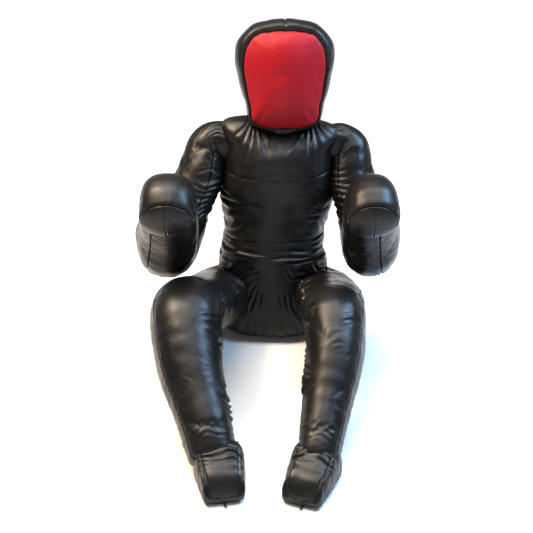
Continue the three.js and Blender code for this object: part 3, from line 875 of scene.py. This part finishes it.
def arm_shape(side):
    """The arm's path, stuffed skin and seam angles, from inside the trunk to the mitt's end."""
    out, own = OUT[side], ARM[side]
    shoulder, elbow = place(f"shoulder_swing_{side}"), place(f"elbow_{side}")
    cap_low, cap_high = corners(f"mitt_cap_{side}")
    cap = (cap_low + cap_high) / 2
    root = shoulder + [-out * 0.085, -0.002, 0.01]
    start = shoulder + [-out * 0.007, -0.002, own["rise"]]
    hand = np.array([cap[0], cap[1] + 0.062, cap[2] + 0.004])
    tip = np.array([cap[0], cap_low[1] - 0.01, cap[2] - 0.028])
    path = Path([root, start, elbow, hand, tip], [0.045, 0.055, 0.055])
    _, at_shoulder, at_elbow, at_hand, at_tip = path.marks

    keys = [
        (0.0, 0.05, 0.054, 0.054, 2.0), (at_shoulder - 0.035, 0.06, 0.058, 0.066, 2.0),
        (at_shoulder, 0.058, 0.06, 0.06, 2.05), (at_shoulder + 0.06, 0.063, 0.058, 0.056, 2.1),
        (at_shoulder + 0.13, 0.071, 0.054, 0.056, 2.1), (at_elbow - 0.1, 0.07, 0.054, 0.066, 2.1),
        (at_elbow - 0.045, 0.075, 0.05, 0.086, 2.15), (at_elbow, 0.08, 0.048, 0.11, 2.3),
        (at_elbow + 0.05, 0.082, 0.052, 0.102, 2.3), (at_elbow + 0.1, 0.079, 0.064, 0.082, 2.25),
        (at_hand - 0.1, 0.0745, 0.07, 0.074, 2.3), (at_hand - 0.03, 0.07, 0.074, 0.062, own["square"]),
        (at_hand + 0.01, 0.068, 0.072, 0.052, own["square"]), (at_tip - 0.03, 0.0675, 0.062, 0.052, 2.2),
        (at_tip - 0.012, 0.0655, 0.053, 0.052, 1.9), (at_tip - 0.002, 0.056, 0.043, 0.043, 1.75),
        (at_tip + 0.005, 0.04, 0.03, 0.03, 1.7), (at_tip + 0.009, 0.02, 0.015, 0.015, 1.7),
        (at_tip + TIP_BEYOND, 0.003, 0.003, 0.003, 1.8),
    ]
    keys = [(s, half_width * own["slim"], *rest) for s, half_width, *rest in keys]
    inner_at, outer_at = mirrored(side, 0.72), mirrored(side, np.pi - 0.12)
    # The inner seam starts high at the armhole and drifts down to the side of the mitt.
    inner_line = (inner_at, (at_shoulder, 0.0), (at_elbow - 0.05, -0.25 * -out),
                  (at_hand, -0.65 * -out), (at_tip, -0.72 * -out))
    seams = (inner_at, outer_at, own["under_seam"])

    def bow(s):
        leaning = -own["lean"] * hill(s, at_shoulder + 0.09, 0.08)
        return out * (leaning + own["drop"] * hill(s, at_elbow + 0.03, 0.09))

    cap_at = at_tip - CAP_LENGTH
    lines = [inner_line, (outer_at,), (own["under_seam"],)]
    skin = Skin(path, keys, rings=[cap_at], lines=lines, bow=bow)
    held = hill(skin.along, cap_at, 0.005) + (1 - ramp(at_shoulder - 0.05, at_shoulder - 0.02, skin.along))
    skin.stuff(held, seams, 0.005, puff=0.005, slack=0.007, pressure=3.5)
    return path, skin, seams


def sleeve_relief(side, path, skin):
    """Deep folds inside the elbow, packed ones under the arm, and slack ones outside the elbow."""
    out, seed = OUT[side], ARM[side]["seed"]
    _, at_shoulder, at_elbow, _, _ = path.marks
    points, along, angle = skin.points, skin.along, skin.angle
    inside = ramp(0.2, 0.9, np.sin(angle)) * hill(along, at_elbow, 0.075)
    height = 0.0045 * inside * folds(along + 0.006 * Wobble(seed + 3, 0.07)(points), 0.019)
    packed = ramp(0.25, 0.8, np.cos(angle) * -out)
    packed *= plateau(at_shoulder + 0.06, at_shoulder + 0.1, at_shoulder + 0.19, at_shoulder + 0.23, along)
    slant = along - 0.032 * np.sin(angle) + 0.005 * Wobble(seed + 4, 0.06)(points)
    height += 0.0058 * packed * folds(slant, 0.0185, 1.4)
    outside = ramp(0.0, 0.8, -np.sin(angle)) * hill(along, at_elbow + 0.04, 0.1)
    sag = along + 0.04 * np.abs(np.cos(angle)) + 0.006 * Wobble(seed + 5, 0.08)(points)
    return height + 0.0024 * outside * folds(sag, 0.027)


def arm_relief(side, path, skin, seams):
    """The arm's seams with their puckers, the gathers at both ends, and the mitt's sewn-on cap."""
    seed = ARM[side]["seed"]
    _, at_shoulder, _, _, at_tip = path.marks
    cap_at = at_tip - CAP_LENGTH
    points, along, angle = skin.points, skin.along, skin.angle
    before_cap = 1 - ramp(cap_at - 0.004, cap_at, along)
    on_arm = ramp(at_shoulder, at_shoulder + 0.02, along) * before_cap
    height = lumps(points, seed, 0.0011, 0.0004)
    for k, seam in enumerate(seams):
        distance = skin.from_line(seam)
        height += on_arm * groove(distance, 0.0032, 0.0017)
        height += on_arm * puckers(along, distance, points, seed + 10 + 3 * k, 0.0165, 0.0022, 0.015)
    height += sleeve_relief(side, path, skin)
    from_armhole, from_cap = along - at_shoulder + 0.02, along - cap_at
    height += puckers(angle * 0.06, from_armhole, points, seed + 20, 0.016, 0.0018, 0.016)
    height += groove(from_cap, 0.0034, 0.0017)
    height += before_cap * puckers(angle * 0.07, from_cap, points, seed + 23, 0.017, 0.0024, 0.016)
    # The cap has a seam down its middle.
    height += (1 - before_cap) * groove(np.cos(angle) * skin.half_width[:, None], 0.0028, 0.0017)
    return height * ramp(-0.002, 0.006, at_tip + TIP_BEYOND - along)


def arm(side):
    path, skin, seams = arm_shape(side)
    skin.push(arm_relief(side, path, skin, seams))
    at_shoulder, elbow = path.marks[1], place(f"elbow_{side}")
    up_arm, down_arm = unit(place(f"shoulder_swing_{side}") - elbow), unit(path.bends[3] - elbow)
    root, upper, lower = f"shoulder_{side}", f"upper_arm_{side}", f"forearm_{side}"
    cut_skin(skin, (at_shoulder + 0.012, at_shoulder + 0.12), (
        ("shoulder", ("torso", root), path.at(at_shoulder + np.array([-0.075, 0.0])), ["shoulder_gusset"]),
        ("sleeve", (root, upper), path.at(at_shoulder + np.array([0.016, 0.105])),
         ["upper_arm_outer", "upper_arm_inner", "upper_arm_filling"]),
        ("forearm", (upper, lower), (elbow + up_arm * 0.06, elbow + down_arm * 0.06),
         ["forearm_outer", "forearm_inner", "forearm_filling", "mitt_cap"]),
    ), f"_{side}")


# ---- Legs ----

# What the photograph shows different on the two legs. Bows are (sideways, past the knee, width).
LEG = {
    "right": {"slim": 1.0, "lowered": 0.0, "gathers": 0.62, "bows": [(-0.019, 0.16, 0.15)], "seed": 90},
    "left": {"slim": 0.85, "lowered": 0.007, "gathers": 1.0,
             "bows": [(0.005, 0.2, 0.13), (-0.013, -0.01, 0.09)], "seed": 120},
}


def leg_joints(side):
    return [place(f"{name}_{side}") for name in ("hip_flex", "knee", "ankle")]


def leg_shape(side):
    """The leg's path, stuffed skin and seam angles, from inside the trunk into the foot."""
    out, own = OUT[side], LEG[side]
    hip, knee, ankle = leg_joints(side)
    root = hip + [-out * 0.048, 0.056, -0.006]
    end = ankle + unit(ankle - knee) * 0.03
    path = Path([root, hip + [0, 0, -0.004], knee + [0, 0, -0.004], ankle, end], [0.06, 0.1, 0.03])
    _, at_hip, at_knee, at_ankle, _ = path.marks
    keys = [
        (0.0, 0.066, 0.058, 0.06, 2.0), (at_hip - 0.03, 0.084, 0.074, 0.084, 2.05),
        (at_hip + 0.03, 0.092, 0.074, 0.091, 2.1), (at_hip + 0.12, 0.094, 0.069, 0.09, 2.05),
        (at_knee - 0.12, 0.094, 0.067, 0.087, 2.05), (at_knee - 0.03, 0.0925, 0.075, 0.082, 2.1),
        (at_knee + 0.04, 0.0885, 0.085, 0.078, 2.2), (at_knee + 0.11, 0.083, 0.079, 0.076, 2.2),
        (at_knee + 0.17, 0.0785, 0.073, 0.071, 2.2), (at_knee + 0.25, 0.071, 0.064, 0.06, 2.2),
        (at_ankle - 0.05, 0.061, 0.055, 0.05, 2.2), (at_ankle - 0.004, 0.057, 0.051, 0.044, 2.2),
        (at_ankle + 0.014, 0.054, 0.047, 0.04, 2.3), (at_ankle + 0.024, 0.044, 0.038, 0.032, 2.2),
    ]

    def narrow(s):
        return 1 - (1 - own["slim"]) * ramp(at_hip, at_knee - 0.06, s)

    def lowered(s):
        return own["lowered"] * plateau(at_hip, at_hip + 0.1, at_knee - 0.05, at_knee + 0.05, s)

    def bow(s):
        return sum(sideways * hill(s, at_knee + past, width) for sideways, past, width in own["bows"])

    keys = [(s, half_width * narrow(s), above - lowered(s), *rest) for s, half_width, above, *rest in keys]
    inner_at, strip_at, under_at = (mirrored(side, at) for at in (0.26, np.pi - 0.52, np.pi + 0.35))
    # The inner seam starts high on the lap and drifts down to the inside of the knee.
    inner_line = (inner_at, (at_hip - 0.02, 0.65 * -out), (at_hip + 0.1, 0.38 * -out),
                  (at_knee - 0.05, 0.0), (at_knee + 0.05, -0.1 * -out), (at_ankle, -0.06 * -out))
    skin = Skin(path, keys, bow=bow, lines=[inner_line, (strip_at,), (under_at,)])
    seams = (inner_at, strip_at, under_at)
    held = 1 - ramp(at_hip - 0.02, at_hip + 0.02, skin.along)
    held += ramp(at_ankle - 0.03, at_ankle - 0.01, skin.along)
    skin.stuff(held, seams, 0.005, puff=0.005, slack=0.002, pressure=3.5)
    return path, skin, seams


def leg_relief(side, path, skin, seams):
    """The leg's seams with their gathers, and folds on the lap, behind the knee and at the ankle."""
    out, own = OUT[side], LEG[side]
    seed = own["seed"]
    _, at_hip, at_knee, at_ankle, _ = path.marks
    points, along, angle = skin.points, skin.along, skin.angle
    height = lumps(points, seed, 0.0012, 0.0003)
    knee_pull = 1 + 0.6 * hill(along, at_knee, 0.09)
    knee_pull *= 1 - 0.9 * ramp(at_ankle - 0.11, at_ankle - 0.02, along)
    gathers = ((0.0115 * own["gathers"], 0.034), (0.0024, 0.013), (0.0026, 0.016))
    for k, (seam, (depth, reach)) in enumerate(zip(seams, gathers)):
        distance = skin.from_line(seam)
        height += groove(distance, 0.0034, 0.0018)
        height += knee_pull * puckers(along, distance, points, seed + 10 + 3 * k, 0.0185, depth, reach)
    # Folds at the thigh's root fan out from the crotch over the lap.
    lap = ramp(-0.1, 0.7, np.sin(angle)) * hill(along, at_hip + 0.05, 0.065)
    inner = ramp(-0.5, 0.6, np.cos(angle) * -out)
    fan = along + 0.055 * np.cos(angle) * out + 0.009 * Wobble(seed + 5, 0.1)(points)
    uneven = patchy(points, seed + 6, 0.07, 0.7, 0.6, 0.1)
    height += 0.0066 * lap * uneven * (0.3 + 0.7 * inner) * folds(fan, 0.022, 1.5)
    behind = ramp(0.1, 0.8, -np.sin(angle)) * hill(along, at_knee, 0.07)
    height += 0.005 * behind * folds(along, 0.022)
    slack = along + 0.004 * Wobble(seed + 7, 0.05)(points)
    return height + 0.0007 * hill(along, at_ankle - 0.03, 0.018) * np.sin(2 * np.pi * slack / 0.016)


def leg(side):
    path, skin, seams = leg_shape(side)
    skin.push(leg_relief(side, path, skin, seams))
    skin.points[..., 2] = np.maximum(skin.points[..., 2], 0.0008)
    _, at_hip, at_knee, _, _ = path.marks
    hip, knee, ankle = leg_joints(side)
    thigh, shin = unit(knee - hip), unit(ankle - knee)
    root, upper, lower, end = f"hip_{side}", f"thigh_{side}", f"shin_{side}", f"foot_{side}"
    cut_skin(skin, (at_hip + 0.025, at_hip + 0.15, at_knee + 0.19), (
        ("hip", ("pelvis", root), (hip - thigh * 0.07, hip + thigh * 0.015), ["hip_gusset"]),
        ("thigh", (root, upper), (hip + thigh * 0.03, hip + thigh * 0.135),
         ["thigh_top", "thigh_under", "thigh_filling"]),
        ("knee", (upper, lower), (knee - thigh * 0.085, knee + shin * 0.085), []),
        ("shin", (lower, end), (ankle - shin * 0.045, ankle + shin * 0.015),
         ["shin_front", "calf_back", "shin_filling"]),
    ), f"_{side}")


# ---- Feet ----

# What the photograph shows different on the two feet.
FOOT = {
    "right": {"inwards": 0.013, "toes_out": 0.012, "longer": 0.001, "seed": 150},
    "left": {"inwards": 0.001, "toes_out": -0.004, "longer": 0.006, "seed": 170},
}
# Angles of the foot's two piped edges, the height of its path over the floor, and the distance along
# the path at which it passes under the ankle.
FOOT_EDGES = (0.84, np.pi - 0.84)
FOOT_LINE = 0.017
UNDER_ANKLE = 0.05


def foot_shape(side):
    """The stuffed foot, flat underneath, from behind the heel to the toes."""
    out, own, line = OUT[side], FOOT[side], FOOT_LINE
    toe_way = -axis(f"sole_zip_{side}")
    ground = place(f"ankle_{side}") * [1, 1, 0] + UP * line
    ground[0] -= out * own["inwards"]
    toes = ground + toe_way * 0.12 + [out * own["toes_out"], 0, 0]
    path = Path([ground - toe_way * UNDER_ANKLE, ground, toes], [0.01])
    keys = [
        (-0.041, 0.01, 0.006, 0.006, 3.0), (-0.039, 0.028, 0.018, 0.012, 3.2),
        (-0.032, 0.044, 0.032, line - 0.001, 3.6), (-0.014, 0.053, 0.052, line, 4.0),
        (0.008, 0.056, 0.071, line, 4.2), (0.028, 0.055, 0.07, line, 4.2), (0.05, 0.053, 0.058, line, 4.2),
        (0.072, 0.051, 0.052, line, 4.2), (0.09, 0.0485, 0.045, line, 4.0),
        (0.103, 0.0475, 0.035, line, 3.8), (0.112, 0.0455, 0.024, line - 0.0005, 3.6),
        (0.118, 0.0425, 0.014, line - 0.003, 3.4), (0.1205, 0.038, 0.007, 0.007, 3.2),
        (0.1212, 0.022, 0.003, 0.003, 3.0),
    ]
    keys = [(UNDER_ANKLE + s + own["longer"] * (s > 0.04), *rest) for s, *rest in keys]
    skin = Skin(path, keys, lines=[(edge,) for edge in FOOT_EDGES], step=0.003)
    on_floor = skin.points[..., 2] < 0.003
    skin.stuff(on_floor, FOOT_EDGES, 0.004, puff=0.003, slack=0.006, pressure=3.0)
    return skin


def foot_relief(side, skin):
    """Piped edges with puckers, folds over the instep, and faint ones on the sides."""
    out, seed = OUT[side], FOOT[side]["seed"]
    points, z = skin.points, skin.points[..., 2]
    along = skin.along - UNDER_ANKLE
    top = ramp(0.3, 0.9, np.sin(skin.angle))
    height = lumps(points, seed, 0.0009, 0.0004)
    for k, edge in enumerate(FOOT_EDGES):
        distance = skin.from_line(edge)
        cord = 0.0018 * hill(distance, 0, 0.0019) - 0.002 * hill(np.abs(distance), 0.0046, 0.002)
        height += ramp(0.004, 0.012, z) * cord
        height += puckers(skin.along, distance, points, seed + 3 + 3 * k, 0.0155, 0.0022, 0.012)
    drift = 0.005 * Wobble(seed + 9, 0.06)(points)
    instep = plateau(0.012, 0.026, 0.046, 0.07, along)
    height += 0.0044 * top * instep * folds(along + drift + 0.012 * np.cos(skin.angle) * out, 0.015, 1.5)
    height -= 0.002 * top * hill(along, 0.07, 0.01)
    height += 0.0016 * folds(along + drift + 0.3 * z, 0.023) * (1 - top)
    return height * ramp(0.0002, 0.006, z)


def edge_stitches(side, skin):
    """A row of stitches on the upper, beside each piped edge."""
    past_shin = skin.rows_at - UNDER_ANKLE > 0.012
    normals = skin.normals()
    for edge, word in zip(FOOT_EDGES, ("inner", "outer")):
        beside = turn(skin.columns - edge) * 0.05 - 0.0065 * np.sign(np.pi / 2 - edge)
        column = int(np.argmin(np.abs(beside)))
        points = skin.points[past_shin, column]
        raised = points[:, 2] > 0.012
        stitch_row(f"foot_stitches_{word}_{side}", points[raised], normals[past_shin, column][raised],
                   f"foot_{side}")


def foot(side):
    skin = foot_shape(side)
    skin.push(foot_relief(side, skin))
    skin.points[..., 2] = np.clip(skin.points[..., 2], 0.0, None)
    row = ("foot", (f"foot_{side}",), None, ["foot_upper", "foot_sole", "foot_filling"])
    cut_skin(skin, [], [row], f"_{side}")
    edge_stitches(side, skin)


# ---- Zips ----

def zips():
    """The zips stay the CAD's own: woven tape for the chains, metal for the sliders and pulls."""
    for name, node in frame["nodes"].items():
        if "zip" in name:
            node.data.materials.clear()
            node.data.materials.append(TAPE if "chain" in name else METAL)


# ---- Stage ----

def light(name, kind, power, colour, where, towards, **shape):
    lamp = bpy.data.lights.new(name, kind)
    for key, value in {"energy": power, "color": colour, **shape}.items():
        setattr(lamp, key, value)
    stand = linked(name, lamp)
    stand.location = where
    way = np.array(towards, float) - np.array(where, float)
    stand.rotation_euler = Vector(way).to_track_quat("-Z", "Y").to_euler()


def floor():
    """Pale paper that reaches far past the camera's view."""
    nodes = Nodes("floor_paper")
    shade = nodes.blended(nodes.noise(220.0, 2.0), (0.86, 0.86, 0.86), (0.89, 0.89, 0.89))
    material = nodes.set(Base_Color=shade, Roughness=0.9, Specular_IOR_Level=0.1)
    reach, drop = 400.0, 0.0006
    edge = [(-reach, -reach, 0), (reach, -reach, 0), (reach, reach, 0), (-reach, reach, 0)]
    paper = mesh_object("floor", edge, [(0, 1, 2, 3)], material)
    paper.location.z = -drop


def studio():
    """Broad light from above, a warm soft box on one side, a cool one on the other, and a faint fill."""
    world = bpy.data.worlds.new("studio")
    world.use_nodes = True
    backdrop = world.node_tree.nodes["Background"]
    backdrop.inputs["Color"].default_value = (0.97, 0.98, 1.0, 1.0)
    backdrop.inputs["Strength"].default_value = 0.21
    bpy.context.scene.world = world
    bpy.context.scene.view_settings.view_transform = "Standard"

    light("overhead", "SUN", 3.2, (1.0, 0.99, 0.97), (0.0, 0.45, 3), (0, 0, 0), angle=math.radians(42))
    aim = (0, -0.2, 0.35)
    for name, power, colour, where, width, height in (
        ("key_warm", 104, (1.0, 0.77, 0.54), (-1.15, 0.0, 2.25), 0.9, 0.9),
        ("side_cool", 72, (0.42, 0.67, 1.0), (1.4, -0.05, 1.9), 0.8, 0.9),
        ("front_fill", 11, (1.0, 0.97, 0.93), (0.1, -3.4, 1.1), 2.2, 0.8),
    ):
        light(name, "AREA", power, colour, where, aim, shape="RECTANGLE", size=width, size_y=height)


def camera():
    """The photograph's view: 27 degrees down from 3 m, aimed at the dummy's lap."""
    tilt = math.radians(27.0)
    distance = 3.0
    aim = np.array([0.0, -0.05, 0.205])
    away = np.array([0.0, -math.cos(tilt), math.sin(tilt)])
    lens = bpy.data.cameras.new("camera")
    lens.sensor_width = 36.0
    lens.lens = 73.3
    lens.shift_x = -0.0047
    eye = linked("camera", lens)
    eye.location = aim + away * distance
    eye.rotation_euler = (math.pi / 2 - tilt, 0, 0)
    bpy.context.scene.camera = eye


camera()
floor()
studio()
trunk()
neck()
head()
for one_side in SIDES:
    arm(one_side)
    leg(one_side)
    foot(one_side)
zips()
